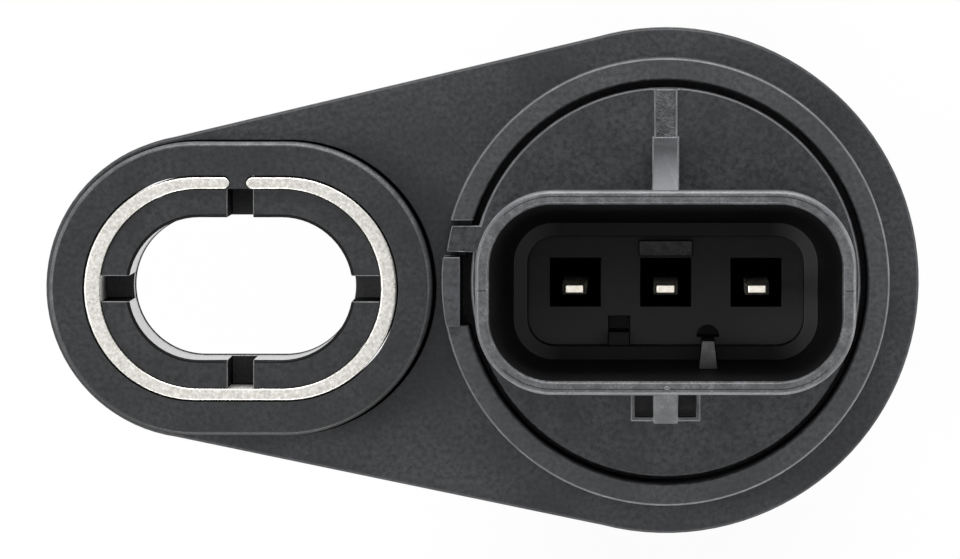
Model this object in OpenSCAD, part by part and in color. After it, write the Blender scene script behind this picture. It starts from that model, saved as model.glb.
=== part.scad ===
// Crankshaft position sensor: a tear-drop flange with a sleeved bolt slot, a keyed sensor body with a
// three-blade connector hood, and the sensing parts inside its barrel.
// The origin is where the barrel's axis meets the flange's seating face.
// +Z points to the connector and -X to the bolt slot.

/* [Flange] */
// Radius of the flange round the sensor's head
flange_r = 12.7; // [12:0.1:16]
// Thickness of the flange plate
flange_t = 4.5; // [4:0.1:6]
// Chamfer along the flange's upper edge
flange_edge = 0.15; // [0.05:0.01:0.3]
// Distance from the barrel's axis to the middle of the bolt slot
slot_x = 21.28; // [21:0.1:28]
// Offset of the bolt slot to the side of the barrel's axis
slot_y = -0.35; // [-1:0.05:1]
// Width of the bolt slot
slot_w = 7.14; // [6:0.05:7.6]
// Distance between the centres of the bolt slot's round ends
slot_run = 4.1; // [3:0.1:5]
// Chamfer round the slot's upper edge
slot_edge = 0.15; // [0.05:0.05:0.3]
// Thickness of the plastic liner between the slot and the sleeve
liner_t = 1.43; // [1:0.05:1.8]
// Depth of the liner's top below the boss
liner_drop = 0.12; // [0.05:0.01:0.4]
// Width of the four notches in the liner
notch_w = 1.27; // [0.8:0.05:1.8]
// Depth of the four notches in the liner
notch_depth = 5; // [1:0.1:5.5]
// Wall of the boss outside the sleeve
boss_wall = 1.7; // [1.2:0.05:2]
// Height of the boss above the flange plate
boss_rise = 2; // [1:0.1:3]
// Chamfer round the boss's upper edge
boss_edge = 0.2; // [0.1:0.05:0.5]
// Width of the flat land between the boss and the flange's chamfer
boss_margin = 0.12; // [0.05:0.01:1]

/* [Bolt sleeve] */
// Thickness of the rolled strip
sleeve_t = 0.64; // [0.4:0.02:0.8]
// Extra length of the sleeve's outer oval at each end
sleeve_end = 0.2; // [0:0.05:0.4]
// Height of the sleeve above the boss
sleeve_proud = 0.06; // [0:0.02:0.3]
// Width of the split in the rolled strip
split_w = 0.86; // [0.4:0.02:1.2]
// Offset of the split from the slot's middle
split_shift = -0.12; // [-0.4:0.02:0.4]
// Gap between the sleeve and the moulding round it
sleeve_gap = 0.02; // [0.01:0.01:0.05]

/* [Collar] */
// Radial wall of the collar round the head
collar_t = 1.1; // [0.8:0.05:1.4]
// Height of the collar above the flange plate
collar_rise = 2; // [1:0.1:3]
// Chamfer on the collar's upper edges
collar_edge = 0.1; // [0.05:0.01:0.3]
// Extra height of the stop finger above the collar
finger_rise = 0.2; // [0:0.05:0.5]
// Length of the stop finger beside the key's notch
finger_len = 3.45; // [2:0.05:5]
// Depth of the flat on the stop finger's inner face behind the collar's chamfer
finger_flat = 0.08; // [0.02:0.01:0.2]
// Height of the head's seat above the flange's seating face
seat_z = 3; // [2:0.1:3.5]

/* [Head and barrel] */
// Radius of the round head
head_r = 9.75; // [9.4:0.05:10]
// Gap between the head and the collar
head_gap = 0.35; // [0.2:0.05:0.5]
// Thickness of the round head
head_t = 3.4; // [2.5:0.1:5]
// Chamfer round the head's upper edge
head_edge = 0.12; // [0.05:0.01:0.3]
// Width of the head's key tab
key_w = 1.3; // [0.8:0.05:2]
// Offset of the key tab from the barrel's axis
key_y = 2.16; // [1.5:0.05:3]
// Gap on each side of the key tab
key_gap = 0.27; // [0.1:0.01:0.5]
// Thickness of the key tab
key_t = 1.7; // [1:0.1:1.8]
// Distance of the key tab's end inside the collar's outer face
key_inset = 0.15; // [0:0.05:0.5]
// Width of the head's lip outside the barrel
head_lip = 0.85; // [0.5:0.05:1.2]
// Radial gap between the barrel and the flange
barrel_fit = 0.05; // [0.02:0.01:0.1]
// Length of the barrel below the flange's seating face
barrel_len = 21; // [20.5:0.5:26]
// Chamfer at the barrel's lower end
barrel_edge = 0.4; // [0.2:0.1:0.8]
// Radius of the bore that takes the sensing parts
bore_r = 5.6; // [5.5:0.05:6]
// Depth of the bore's closed end below the seating face
bore_roof = 1; // [0.5:0.1:1.5]

/* [Sealing ring] */
// Thickness of the ring's cord
ring_cord = 2.4; // [1.8:0.1:2.6]
// Depth of the groove in the barrel
groove_depth = 1.85; // [1.5:0.05:2.1]
// Width of the groove
groove_w = 3.1; // [2.8:0.1:4]
// Distance from the seating face to the groove
groove_z = 3; // [2:0.1:4]
// Gap between the ring and the groove's floor
ring_gap = 0.02; // [0.01:0.01:0.1]

/* [Connector hood] */
// Length of the hood across the terminals
hood_len = 18.54; // [17.5:0.1:18.8]
// Width of the hood
hood_wid = 9.94; // [9.6:0.1:10.6]
// Corner radius of the hood
hood_corner = 3.77; // [3.6:0.05:4]
// Offset of the hood from the barrel's axis
hood_y = -0.1; // [-0.4:0.05:0.4]
// Height of the hood above the head
hood_h = 12; // [11:0.1:14]
// Growth of the hood's wall towards its foot
hood_draft = 0.06; // [0:0.02:0.3]
// Height of the lip round the rim
lip_h = 2.2; // [1:0.1:2.4]
// Reach of the lip past the hood's wall
lip_out = 0.4; // [0.2:0.02:0.45]
// Wall of the hood at its rim
rim_wall = 0.67; // [0.5:0.01:0.8]
// Rounding of the rim's outer edge
rim_round = 0.22; // [0.1:0.01:0.3]
// Lead-in chamfer on the rim's inner edge
rim_lead = 0.16; // [0.05:0.01:0.25]
// Depth from the rim to the socket's ledge
socket_depth = 8.9; // [8:0.1:9.5]
// Distance that the socket's wall leans in from rim to ledge
socket_lean = 1.05; // [0.6:0.05:1.2]
// Offset of the ledge and the floor from the hood's middle
floor_shift = -0.24; // [-0.4:0.02:0.2]
// Extra half width of the ledge and the floor
floor_stretch = 0.17; // [0:0.01:0.25]
// Width of the ledge round the socket's floor
ledge_w = 0.7; // [0.4:0.05:0.9]
// Depth of the floor below the ledge
floor_drop = 1.5; // [0.5:0.1:2]
// Length of each terminal's well along the row
well_len = 2.5; // [2:0.05:3]
// Width of each terminal's well
well_wid = 2.4; // [1.8:0.05:2.5]
// Depth of each terminal's well
well_depth = 3; // [1:0.1:4]
// Offset of the wells from the hood's middle
well_shift = 0.15; // [-0.1:0.01:0.2]

/* [Hood features] */
// Thickness of the gusset behind the hood
gusset_t = 1.25; // [0.8:0.05:2]
// Reach of the gusset's foot from the barrel's axis
gusset_foot = 7.24; // [6.5:0.05:8]
// Drop from the rim to the gusset's upper end
gusset_drop = 0.3; // [0.2:0.05:2]
// Width of the raised pad in front of the gusset
pad_w = 1.08; // [0.6:0.05:2]
// Height of the raised pad
pad_rise = 0.12; // [0.05:0.01:0.3]
// Distance of the pad's end inside the head's edge
pad_inset = 0.12; // [0.05:0.05:0.6]
// Width of the latch nose
nose_w = 3.4; // [2.6:0.05:4]
// Reach of the latch nose from the hood
nose_out = 1.4; // [1:0.05:1.8]
// Height of the latch nose
nose_h = 4; // [2:0.1:6]
// Drop from the rim to the latch nose
nose_drop = 2.5; // [1.5:0.1:4]
// Depth of the latch nose's two pockets
nose_pocket = 0.8; // [0.3:0.1:1.5]
// Wall of the latch nose's two pockets
nose_wall = 0.2; // [0.15:0.01:0.4]
// Width of the latch nose's rib
nose_rib_w = 1.18; // [0.6:0.02:1.6]
// Reach of the rib past the latch nose's face
nose_rib_out = 0.12; // [0.05:0.01:0.3]
// Drop from the rim to the rib's upper end
nose_rib_drop = 0.7; // [0.5:0.1:2]
// Offset of the tall coding rib along the row
rib_x = 2.1; // [1.8:0.05:2.6]
// Width of the tall coding rib
rib_w = 1.08; // [0.8:0.02:1.3]
// Width of the tall coding rib's nose
rib_nose_w = 0.62; // [0.4:0.02:0.8]
// Height of the tall coding rib above the floor
rib_h = 5.5; // [3:0.1:5.8]
// Fall of the tall coding rib's top towards its nose
rib_fall = 0.4; // [0.2:0.05:2]
// Reach of the tall coding rib's foot over the floor
rib_foot = 0.4; // [0.1:0.02:0.5]
// Offset of the low coding rib along the row
stub_x = -2.32; // [-2.6:0.02:-2]
// Width of the low coding rib
stub_w = 1.06; // [0.6:0.02:1.2]
// Length of the low coding rib over the floor
stub_len = 0.7; // [0.3:0.02:0.8]
// Height of the low coding rib above the floor
stub_h = 1.3; // [0.3:0.1:1.4]
// Length of the pocket in front of the tall coding rib
rib_pocket = 0.57; // [0.56:0.01:0.7]
// Length of the pocket in front of the low coding rib
stub_pocket = 0.73; // [0.5:0.01:0.8]
// Depth of the pocket in front of each coding rib
rib_pocket_depth = 2; // [0.5:0.1:2.5]
// Width of the polarising wedge
wedge_w = 2.64; // [2:0.02:3.2]
// Length of the polarising wedge over the floor
wedge_len = 0.74; // [0.4:0.02:0.8]
// Height of the polarising wedge's outer edge
wedge_h = 0.75; // [0.4:0.05:1.2]
// Height of the polarising wedge's inner edge
wedge_foot = 0.35; // [0.1:0.01:0.4]
// Gap between the polarising wedge and the floor's edge
wedge_gap = 0.26; // [0.05:0.01:0.3]

/* [Terminals] */
// Pitch of the three blades
blade_pitch = 4.5; // [4.3:0.05:4.6]
// Width of a blade
blade_w = 1.2; // [0.8:0.05:1.5]
// Thickness of a blade
blade_t = 0.6; // [0.4:0.05:0.8]
// Depth of the blades' tips below the rim
blade_recess = 5.2; // [4.6:0.1:6]
// Length of the taper at a blade's tip
tip_len = 0.9; // [0.4:0.05:1.5]
// Width that the taper takes off each side of a blade
tip_cut_w = 0.15; // [0.05:0.01:0.3]
// Thickness that the taper takes off each face of a blade
tip_cut_t = 0.09; // [0.05:0.01:0.15]
// Pitch of the strips beside the chip carrier
strip_pitch = 2.2; // [2:0.05:2.3]
// Depth below the bore's closed end at which the strips start to draw in
strip_jog_z = 0.6; // [0.3:0.1:1]
// Height over which the strips draw in
strip_jog_h = 2.4; // [2:0.1:3]
// Gap between a strip and the body round it
strip_gap = 0.02; // [0.01:0.01:0.05]

/* [Sensing parts] */
// Depth of the chip carrier's top below the seating face
carrier_z = 4.5; // [4.2:0.1:5]
// Radial gap between the chip carrier and the bore
carrier_gap = 0.12; // [0.05:0.01:0.2]
// Web of the carrier between the magnet and the shelf that the leads cross
shelf_web = 1; // [0.6:0.1:1.5]
// Length of the chip package
chip_len = 5.2; // [5:0.1:5.6]
// Width of the chip package
chip_wid = 3.8; // [3:0.1:4]
// Thickness of the chip package
chip_t = 1; // [0.8:0.05:1.2]
// Width of a chip lead
lead_w = 0.5; // [0.3:0.05:0.7]
// Thickness of a chip lead
lead_t = 0.3; // [0.2:0.02:0.35]
// Distance from the wider of the chip and the magnet to a lead's upright
lead_out = 0.4; // [0.3:0.02:0.6]
// Overlap of a lead on its strip
lead_lap = 2.2; // [1:0.1:2.5]
// Gap round the chip, the plate and the magnet in the carrier
pocket_gap = 0.05; // [0.02:0.01:0.1]
// Side of the square magnet and plate
magnet_w = 4.4; // [3.5:0.1:4.6]
// Height of the magnet
magnet_h = 3.4; // [2:0.1:3.6]
// Thickness of the flux plate
plate_t = 0.8; // [0.4:0.05:1]
// Length of a capacitor
cap_len = 2; // [1.8:0.05:2.1]
// Width of a capacitor
cap_wid = 1.25; // [0.8:0.05:1.4]
// Thickness of a capacitor
cap_t = 0.85; // [0.5:0.05:1]
// Distance from the carrier's top to the supply capacitor
supply_cap_z = 1.2; // [0.8:0.1:1.6]
// Distance from the carrier's top to the signal capacitor
signal_cap_z = 2.2; // [1.6:0.1:2.6]

/* [Tip cap] */
// Thickness of the tip cap
cap_disc_t = 1; // [0.6:0.1:1.5]
// Distance of the cap's rim inside the barrel's face
cap_inset = 0.4; // [0.4:0.05:1]
// Height of the cap's spigot in the bore
spigot_h = 0.8; // [0.4:0.1:1.2]
// Radial gap between the cap's spigot and the bore
spigot_gap = 0.05; // [0.02:0.01:0.1]

/* [Hidden] */
$fn = 96;
over = 1;                                        // run-out of a cut past the face that it opens
hair = 0.01;                                     // slab that stands for an outline in a loft
flank_inset = 0.015;                             // flank's distance inside the common tangent

nylon = "#37383a";
cap_shade = "#2c2d2f";

// Bolt slot, liner, sleeve and boss share one middle
slot_r = slot_w / 2;
slot_half = slot_run / 2;
sleeve_in_r = slot_r + liner_t;
sleeve_out_r = sleeve_in_r + sleeve_t;
boss_half = slot_half + sleeve_end;
boss_r = sleeve_out_r + boss_wall;
boss_top = flange_t + boss_rise;
sleeve_top = boss_top + sleeve_proud;

// The flange's end is centred on the boss's outer round end
end_r = boss_r + boss_margin + flange_edge;
end_at = [-slot_x - boss_half, slot_y];
end_span = norm(end_at);
end_angle = atan2(end_at[1], end_at[0]);
tangent_angle = acos((flange_r - end_r) / end_span);

// Collar and head
collar_in_r = head_r + head_gap;
collar_out_r = collar_in_r + collar_t;
collar_top = flange_t + collar_rise;
head_top = seat_z + head_t;
key_r = collar_out_r - key_inset;
notch_low = key_y - key_w / 2 - key_gap;
notch_high = key_y + key_w / 2 + key_gap;
barrel_r = head_r - head_lip;
groove_r = barrel_r - groove_depth;
hole_r = barrel_r + barrel_fit;

// Hood, whose outlines share their corner centres
hood_sx = hood_len / 2 - hood_corner;
hood_sy = hood_wid / 2 - hood_corner;
rim_z = head_top + hood_h;
wall_r = hood_corner - lip_out;
rim_r = hood_corner - rim_wall;
ledge_r = rim_r - socket_lean;
floor_r = ledge_r - ledge_w;
ledge_z = rim_z - socket_depth;
floor_z = ledge_z - floor_drop;
floor_y = hood_y + floor_shift;
floor_sy = hood_sy + floor_stretch;
floor_back = floor_y + floor_sy + floor_r;
floor_front = floor_y - floor_sy - floor_r;
well_z = floor_z - well_depth;
hood_back = hood_y + hood_wid / 2;
hood_front = hood_y - hood_wid / 2;

// Terminals and what they reach inside the barrel
blade_top = rim_z - blade_recess;
bore_top = -bore_roof;
strip_front = hood_y - blade_t / 2;
strip_back = hood_y + blade_t / 2;
carrier_top = -carrier_z;
tip_z = -barrel_len;
carrier_end = tip_z + spigot_h;
carrier_r = bore_r - carrier_gap;
plate_z = carrier_end + chip_t;
magnet_z = plate_z + plate_t;
shelf_z = magnet_z + magnet_h + shelf_web;
lead_foot_z = carrier_end + chip_t / 2;
lead_bend_z = shelf_z + lead_t;
strip_end = lead_bend_z + lead_t;
chip_front = -chip_wid / 2;
lead_back = -max(chip_wid, magnet_w) / 2 - lead_out;

function arc(centre, r, from, to, steps = 6) =
    [for (i = [0:steps]) let (a = from + (to - from) * i / steps) centre + r * [cos(a), sin(a)]];

// Points [distance, height] of a straight wall, closed at the axis
function straight(r, low, high) = [[0, low], [r, low], [r, high], [0, high]];

// The same with a chamfered upper edge
function chamfered(r, low, high, edge) = [[0, low], [r, low], [r, high - edge], [r - edge, high], [0, high]];

// Carries a profile of [distance, height] points round an oval of two round ends
module oval(half, profile) {
    for (side = [0, 180]) rotate(side) {
        translate([half, 0, 0]) rotate(-90) rotate_extrude(angle = 180) polygon(profile);
        translate([-half, 0, 0]) rotate([90, 0, 90]) linear_extrude(2 * half) polygon(profile);
    }
}

// Carries a profile of [distance, height] points round a rectangle of corner centres
module round_box(half_x, half_y, profile) {
    low = profile[0][1];
    high = profile[len(profile) - 1][1];
    for (side = [0, 180]) rotate(side) {
        translate([half_x, half_y, 0]) rotate_extrude(angle = 90) polygon(profile);
        translate([-half_x, half_y, 0]) rotate(90) rotate_extrude(angle = 90) polygon(profile);
        translate([-half_x, half_y, 0]) rotate([90, 0, 90]) linear_extrude(2 * half_x) polygon(profile);
        translate([half_x, half_y, 0]) rotate([90, 0, 0]) linear_extrude(2 * half_y) polygon(profile);
    }
    translate([-half_x, -half_y, low]) cube([2 * half_x, 2 * half_y, high - low]);
}

// Block from its lowest to its highest corner
module block(low, high) {
    translate(low) cube(high - low);
}

// Outline in the YZ plane, given as [y, z] points, as thick along X as width
module side_plate(width, points) {
    translate([-width / 2, 0, 0]) rotate([90, 0, 90]) linear_extrude(width) polygon(points);
}

// Half space on one side of the flange, bounded by its straight flank with the chamfered edge
module flank_side(side) {
    reach = flange_r - flank_inset;
    run = end_span + flange_r;
    rotate(end_angle + side * tangent_angle) rotate([90, 0, 0]) translate([0, 0, -run])
        linear_extrude(2 * run) polygon([
            [-2 * flange_r, 0], [reach, 0], [reach, flange_t - flange_edge], [reach - flange_edge, flange_t],
            [-2 * flange_r, flange_t]]);
}

// Two round ends, and the web between them whose flanks run along their common tangents
module flange_plate() {
    corners = [for (side = [-1, 1]) let (a = end_angle + side * tangent_angle) flange_r * [cos(a), sin(a)]];
    ends = [for (corner = corners) end_at + corner * end_r / flange_r];
    rotate_extrude() polygon(chamfered(flange_r, 0, flange_t, flange_edge));
    translate(end_at) rotate_extrude() polygon(chamfered(end_r, 0, flange_t, flange_edge));
    intersection() {
        linear_extrude(flange_t) polygon([corners[0], ends[0], ends[1], corners[1]]);
        flank_side(-1);
        flank_side(1);
    }
}

// Rolled strip with its split and rounded ends, grown on every side by a gap
module sleeve_form(grow, low, high) {
    end_round = sleeve_t / 2 + grow;
    cut = split_w / 2 + sleeve_t / 2;
    middle = sleeve_in_r + sleeve_t / 2;
    difference() {
        oval(boss_half, straight(sleeve_out_r + grow, low, high));
        oval(slot_half, straight(sleeve_in_r - grow, low - over, high + over));
        block([split_shift - cut, 0, low - over], [split_shift + cut, sleeve_out_r + over, high + over]);
    }
    for (side = [-1, 1]) translate([split_shift + side * cut, middle, low])
        rotate(side * 90) rotate_extrude(angle = 180) square([end_round, high - low]);
}

module mounting_flange() {
    color(nylon) difference() {
        union() {
            flange_plate();
            translate([-slot_x, slot_y, 0]) oval(boss_half, chamfered(boss_r, 0, boss_top, boss_edge));
            collar();
        }
        translate([0, 0, -over]) cylinder(r = hole_r, h = seat_z + 2 * over);
        rotate_extrude() polygon([
            [0, seat_z], [collar_in_r, seat_z], [collar_in_r, collar_top - collar_edge],
            [collar_in_r + collar_edge, collar_top], [collar_in_r + collar_edge, collar_top + over],
            [0, collar_top + over]]);
        block([-collar_in_r - collar_edge - finger_flat, notch_low - finger_len, seat_z],
              [over - collar_in_r, notch_low, collar_top + finger_rise + over]);
        translate([-slot_x, slot_y, 0]) {
            slot_cut();
            sleeve_form(sleeve_gap, -over, boss_top + over);
        }
    }
}

// Wall round the head with the notch for the head's key
module collar() {
    difference() {
        union() {
            rotate_extrude() polygon(chamfered(collar_out_r, 0, collar_top, collar_edge));
            stop_finger();
        }
        block([-collar_out_r - over, notch_low, flange_t],
              [over - collar_in_r, notch_high, collar_top + finger_rise + over]);
    }
}

// Raised part of the collar that stops the head's key
module stop_finger() {
    intersection() {
        cylinder(r = collar_out_r, h = collar_top + finger_rise);
        block([-collar_out_r - over, notch_low - finger_len, flange_t - over],
              [-collar_in_r + over, notch_low, collar_top + finger_rise + over]);
    }
}

// Slot, the drop of its liner and the liner's four notches
module slot_cut() {
    liner_top = boss_top - liner_drop;
    reach = slot_half + sleeve_in_r;
    edge_r = slot_r + slot_edge;
    oval(slot_half, [[0, -over], [slot_r, -over], [slot_r, liner_top - slot_edge], [edge_r, liner_top],
                     [edge_r, boss_top + over], [0, boss_top + over]]);
    oval(slot_half, straight(sleeve_in_r, liner_top, boss_top + over));
    block([-notch_w / 2, -sleeve_in_r, boss_top - notch_depth], [notch_w / 2, sleeve_in_r, boss_top + over]);
    block([-reach, -notch_w / 2, boss_top - notch_depth], [reach, notch_w / 2, boss_top + over]);
}

module bolt_sleeve() {
    color("gainsboro") translate([-slot_x, slot_y, 0]) sleeve_form(0, 0, sleeve_top);
}

module sensor_body() {
    color(nylon) {
        difference() {
            union() {
                head_and_barrel();
                key_tab();
                translate([0, hood_y, 0]) round_box(hood_sx, hood_sy, concat(
                    [[0, seat_z + head_t / 2], [wall_r + hood_draft, seat_z + head_t / 2],
                     [wall_r + hood_draft, head_top], [wall_r, rim_z - lip_h - lip_out],
                     [hood_corner, rim_z - lip_h]],
                    arc([hood_corner - rim_round, rim_z - rim_round], rim_round, 0, 90), [[0, rim_z]]));
                gusset();
                latch_nose();
            }
            socket();
            translate([0, 0, tip_z - over]) cylinder(r = bore_r, h = barrel_len - bore_roof + over);
            for (place = [-1:1]) translate([place * blade_pitch, hood_y, bore_top - over])
                linear_extrude(well_z - bore_top + 2 * over)
                    square([blade_w, blade_t] + 2 * strip_gap * [1, 1], center = true);
        }
        coding_ribs();
    }
}

module head_and_barrel() {
    rotate_extrude() polygon([
        [0, tip_z], [barrel_r - barrel_edge, tip_z], [barrel_r, tip_z + barrel_edge],
        [barrel_r, -groove_z - groove_w], [groove_r, -groove_z - groove_w], [groove_r, -groove_z],
        [barrel_r, -groove_z], [barrel_r, seat_z], [head_r, seat_z], [head_r, head_top - head_edge],
        [head_r - head_edge, head_top], [0, head_top]]);
}

module key_tab() {
    intersection() {
        translate([0, 0, head_top - key_t]) cylinder(r = key_r, h = key_t);
        block([-key_r - over, key_y - key_w / 2, head_top - key_t - over],
              [-head_r + over, key_y + key_w / 2, head_top + over]);
    }
}

// Rib from the hood's back down to the head, and the pad that runs on to the head's edge
module gusset() {
    side_plate(gusset_t, [[hood_y, seat_z + head_t / 2], [gusset_foot, seat_z + head_t / 2],
                          [gusset_foot, head_top], [hood_back - rim_round, rim_z - gusset_drop],
                          [hood_y, rim_z - gusset_drop]]);
    block([-pad_w / 2, hood_y, head_top - over], [pad_w / 2, head_r - pad_inset, head_top + pad_rise]);
}

// Latch nose: two pockets in thin walls, with a sloped rib between them
module latch_nose() {
    top = rim_z - nose_drop;
    face = hood_front - nose_out;
    rib_face = face - nose_rib_out;
    pocket_w = (nose_w - nose_rib_w) / 2 - nose_wall;
    difference() {
        side_plate(nose_w, [[hood_y, top], [face, top], [face, top - nose_h + nose_out],
                            [hood_front, top - nose_h], [hood_y, top - nose_h]]);
        for (side = [-1, 1]) translate([side * (nose_rib_w + pocket_w) / 2, 0, 0])
            side_plate(pocket_w, [[hood_front, top + over], [face + nose_wall, top + over],
                                  [face + nose_wall, top - nose_pocket], [hood_front, top - nose_pocket]]);
    }
    side_plate(nose_rib_w, [[hood_y, rim_z - nose_rib_drop], [hood_front, rim_z - nose_rib_drop],
                            [rib_face, top], [rib_face, top - nose_h + nose_out],
                            [hood_front, top - nose_h], [hood_y, top - nose_h]]);
}

// Rounded rectangle between the hood's corner centres, as a thin slab for the socket's loft
module socket_outline(r, half_y, y, z) {
    translate([0, y, z]) linear_extrude(hair) for (sx = [-1, 1], sy = [-1, 1])
        translate([sx * hood_sx, sy * half_y]) circle(r = r, $fn = 64);
}

// Space for the plug: leaning wall, ledge, floor, wells and the pockets beside the coding ribs
module socket() {
    lead_z = rim_z - rim_lead;
    hull() {
        socket_outline(rim_r + rim_lead + over, hood_sy, hood_y, rim_z + over);
        socket_outline(rim_r, hood_sy, hood_y, lead_z);
    }
    hull() {
        socket_outline(rim_r, hood_sy, hood_y, lead_z);
        socket_outline(ledge_r, floor_sy, floor_y, ledge_z);
    }
    translate([0, floor_y, 0]) round_box(hood_sx, floor_sy, straight(floor_r, floor_z, ledge_z + over));
    for (place = [-1:1]) translate([place * blade_pitch, hood_y + well_shift, well_z])
        translate([-well_len / 2, -well_wid / 2, 0]) cube([well_len, well_wid, well_depth + over]);
    rib_pockets();
}

// Round-ended pocket in front of the tall coding rib, and the square one in front of the low rib
module rib_pockets() {
    low = floor_z - rib_pocket_depth;
    rib_start = floor_front + rib_foot;
    round_y = rib_start + rib_pocket - rib_w / 2;
    stub_start = floor_front + stub_len;
    block([rib_x - rib_w / 2, rib_start, low], [rib_x + rib_w / 2, round_y, floor_z + over]);
    translate([rib_x, round_y, low]) rotate_extrude(angle = 180) square([rib_w / 2, rib_pocket_depth + over]);
    block([stub_x - stub_w / 2, stub_start, low],
          [stub_x + stub_w / 2, stub_start + stub_pocket, floor_z + over]);
}

// Ribs in the socket that let in only the plug made for it
module coding_ribs() {
    wall_front = hood_front + rim_wall / 2;
    nose = floor_front + rib_foot;
    low = floor_z - rib_pocket_depth;
    translate([rib_x, 0, 0]) intersection() {
        side_plate(rib_w, [[wall_front, low], [nose, low], [nose, floor_z + rib_h - rib_fall],
                           [wall_front, floor_z + rib_h]]);
        translate([0, 0, low]) linear_extrude(rib_pocket_depth + rib_h + over)
            polygon([[-rib_w / 2, wall_front], [rib_w / 2, wall_front],
                     [rib_nose_w / 2, nose], [-rib_nose_w / 2, nose]]);
    }
    block([stub_x - stub_w / 2, floor_front - ledge_w / 2, low],
          [stub_x + stub_w / 2, floor_front + stub_len, floor_z + stub_h]);
    wedge_back = floor_back - wedge_gap;
    wedge_front = wedge_back - wedge_len;
    side_plate(wedge_w, [[wedge_back, floor_z - over], [wedge_back, floor_z + wedge_h],
                         [wedge_front, floor_z + wedge_foot], [wedge_front, floor_z - over]]);
}

// Blade in the socket, drawn in below the body to a strip beside the chip carrier
module terminal(place) {
    jog_top = bore_top - strip_jog_z;
    blade = place * blade_pitch;
    strip = place * strip_pitch;
    half = blade_w / 2;
    left = [[strip - half, strip_end], [strip - half, jog_top - strip_jog_h], [blade - half, jog_top],
            [blade - half, blade_top - tip_len], [blade - half + tip_cut_w, blade_top]];
    right = [[blade + half - tip_cut_w, blade_top], [blade + half, blade_top - tip_len],
             [blade + half, jog_top], [strip + half, jog_top - strip_jog_h], [strip + half, strip_end]];
    reach = blade_pitch + blade_w;
    color("lightgoldenrodyellow") intersection() {
        translate([0, strip_back, 0]) rotate([90, 0, 0]) linear_extrude(blade_t) polygon(concat(left, right));
        side_plate(2 * reach, [[strip_front, strip_end - over], [strip_front, blade_top - tip_len],
                               [strip_front + tip_cut_t, blade_top], [strip_back - tip_cut_t, blade_top],
                               [strip_back, blade_top - tip_len], [strip_back, strip_end - over]]);
    }
}

module terminal_supply() { terminal(-1); }
module terminal_ground() { terminal(0); }
module terminal_signal() { terminal(1); }

// Insert that backs the strips and holds the magnet, the plate and the chip at the tip
module chip_carrier() {
    window = strip_pitch + lead_w / 2 + lead_t;
    color("tan") difference() {
        translate([0, 0, carrier_end]) cylinder(r = carrier_r, h = carrier_top - carrier_end);
        block([-bore_r, -bore_r, shelf_z], [bore_r, strip_back, carrier_top + over]);
        block([-window, -bore_r, carrier_end - over], [window, lead_back + pocket_gap, shelf_z + over]);
        translate([0, 0, carrier_end - over]) {
            pocket(chip_len, chip_wid, chip_t + over);
            pocket(magnet_w, magnet_w, magnet_z + magnet_h - carrier_end + over);
        }
        block([-chip_len / 2 - pocket_gap, -bore_r, carrier_end - over],
              [chip_len / 2 + pocket_gap, chip_front, plate_z]);
    }
}

// Pocket with the common gap round a part of the given size
module pocket(length, width, height) {
    linear_extrude(height) square([length, width] + 2 * pocket_gap * [1, 1], center = true);
}

module hall_chip() {
    color("#202224") translate([0, 0, carrier_end]) linear_extrude(chip_t)
        square([chip_len, chip_wid], center = true);
}

// Lead bent up from the chip's edge, then across the shelf and up the strip's face
module chip_lead(place) {
    top = strip_end + lead_lap;
    color("silver") translate([place * strip_pitch, 0, 0]) side_plate(lead_w, [
        [chip_front, lead_foot_z], [chip_front, lead_foot_z + lead_t], [lead_back, lead_foot_z + lead_t],
        [lead_back, lead_bend_z], [strip_front, lead_bend_z], [strip_front, top], [strip_front - lead_t, top],
        [strip_front - lead_t, lead_bend_z + lead_t], [lead_back - lead_t, lead_bend_z + lead_t],
        [lead_back - lead_t, lead_foot_z]]);
}

module chip_lead_supply() { chip_lead(-1); }
module chip_lead_ground() { chip_lead(0); }
module chip_lead_signal() { chip_lead(1); }

module bias_magnet() {
    color("dimgray") translate([0, 0, magnet_z]) linear_extrude(magnet_h)
        square([magnet_w, magnet_w], center = true);
}

module flux_plate() {
    color("slategray") translate([0, 0, plate_z]) linear_extrude(plate_t)
        square([magnet_w, magnet_w], center = true);
}

// Capacitor across the ground strip and one of its neighbours
module capacitor(place, drop) {
    color("peru") translate([place * strip_pitch / 2, strip_front, carrier_top - drop])
        translate([-cap_len / 2, -cap_t, -cap_wid]) cube([cap_len, cap_t, cap_wid]);
}

module supply_capacitor() { capacitor(-1, supply_cap_z); }
module signal_capacitor() { capacitor(1, signal_cap_z); }

module tip_cap() {
    rim = barrel_r - cap_inset;
    face_z = tip_z - cap_disc_t;
    color(cap_shade) rotate_extrude() polygon([
        [0, face_z], [rim - barrel_edge, face_z], [rim, face_z + barrel_edge], [rim, tip_z],
        [bore_r - spigot_gap, tip_z], [bore_r - spigot_gap, carrier_end], [0, carrier_end]]);
}

module sealing_ring() {
    color("#2a2320") translate([0, 0, -groove_z - groove_w / 2])
        rotate_extrude() translate([groove_r + ring_gap + ring_cord / 2, 0]) circle(d = ring_cord, $fn = 48);
}

mounting_flange();
bolt_sleeve();
sensor_body();
terminal_supply();
terminal_ground();
terminal_signal();
chip_carrier();
hall_chip();
chip_lead_supply();
chip_lead_ground();
chip_lead_signal();
bias_magnet();
flux_plate();
supply_capacitor();
signal_capacitor();
tip_cap();
sealing_ring();
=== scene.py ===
import math

import bmesh
import bpy
import numpy as np
from mathutils import Matrix, Vector


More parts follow.
